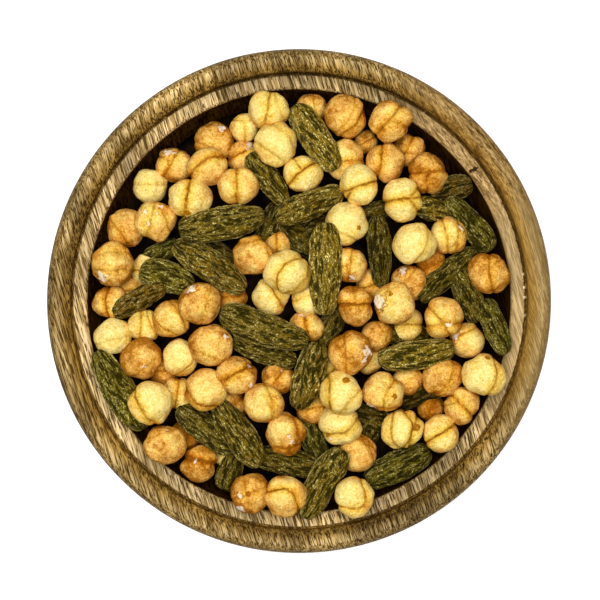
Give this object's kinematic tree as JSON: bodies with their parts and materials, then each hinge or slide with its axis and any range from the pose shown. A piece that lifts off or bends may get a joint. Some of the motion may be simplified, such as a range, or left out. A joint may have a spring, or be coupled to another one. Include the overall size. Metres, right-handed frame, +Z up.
{
  "type": "bowl of roasted chickpeas and green raisins",
  "caption": "Round turned wooden bowl with a beaded rim, heaped with roasted chickpeas and green raisins.",
  "frame": {"origin": "middle of the bowl's flat base, on the surface it stands on", "axes": "+Z up out of the bowl, along its turning axis; +Y is the top of the picture seen from straight above and +X its right"},
  "size_m": [0.12, 0.12, 0.0576],
  "materials": {
    "bowl_wood": "lightly oiled open-grained wood, satin",
    "snack_mix": "dry roasted chickpeas, golden to cream, with wrinkled olive green raisins"
  },
  "bodies": {
    "root": {"wooden_bowl": "bowl_wood", "chickpea_raisin_heap": "snack_mix"}
  },
  "joints": []
}
